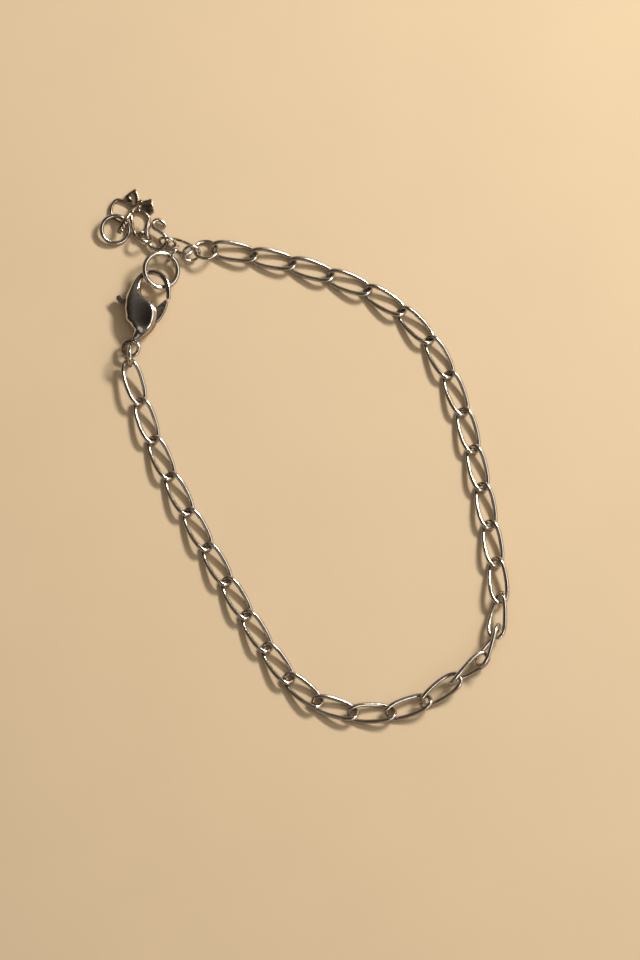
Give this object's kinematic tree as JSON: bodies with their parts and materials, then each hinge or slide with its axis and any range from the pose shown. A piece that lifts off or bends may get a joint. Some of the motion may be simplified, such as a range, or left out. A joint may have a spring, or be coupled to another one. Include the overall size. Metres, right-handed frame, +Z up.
{
  "type": "chain bracelet",
  "caption": "Curb-link chain bracelet laid in an open loop, fastened by a lobster clasp with a working lever, with a small openwork leaf charm on rings by the clasp.",
  "frame": {"origin": "on the surface that the bracelet lies on, under the middle of its outline", "axes": "+Z up from the surface, +Y along the loop's longer way towards the charm and the clasp's hook end, +X to the side away from the clasp"},
  "size_m": [0.0576, 0.0762, 0.0035],
  "materials": {
    "chain_steel": "polished",
    "clasp_steel": "polished",
    "lever_steel": "satin",
    "ring_steel": "polished",
    "charm_steel": "polished"
  },
  "bodies": {
    "bracelet": {"link_01": "chain_steel", "link_02": "chain_steel", "link_03": "chain_steel", "link_04": "chain_steel", "link_05": "chain_steel", "link_06": "chain_steel", "link_07": "chain_steel", "link_08": "chain_steel", "link_09": "chain_steel", "link_10": "chain_steel", "link_11": "chain_steel", "link_12": "chain_steel", "link_13": "chain_steel", "link_14": "chain_steel", "link_15": "chain_steel", "link_16": "chain_steel", "link_17": "chain_steel", "link_18": "chain_steel", "link_19": "chain_steel", "link_20": "chain_steel", "link_21": "chain_steel", "link_22": "chain_steel", "link_23": "chain_steel", "link_24": "chain_steel", "link_25": "chain_steel", "link_26": "chain_steel", "link_27": "chain_steel", "link_28": "chain_steel", "link_29": "chain_steel", "link_30": "chain_steel", "clasp_body": "clasp_steel", "clasp_pin": "clasp_steel", "connector_ring": "ring_steel", "hook_ring": "ring_steel", "end_ring": "ring_steel", "joining_ring": "ring_steel", "long_link": "ring_steel", "hanger_ring": "ring_steel", "hook_eye_ring": "ring_steel", "s_hook": "ring_steel", "charm_ring": "ring_steel", "leaf_ring": "ring_steel", "leaf_charm": "charm_steel"},
    "lever": {"clasp_lever": "lever_steel"}
  },
  "joints": [
    {"name": "lever_hinge", "type": "hinge", "parent": "bracelet", "child": "lever", "pos_m": [-0.02194, 0.0194, 0.00162], "axis": [-0.1392, 0, 0.9903], "range_deg": [0, 18], "stiffness_Nm_per_rad": 0.002}
  ]
}
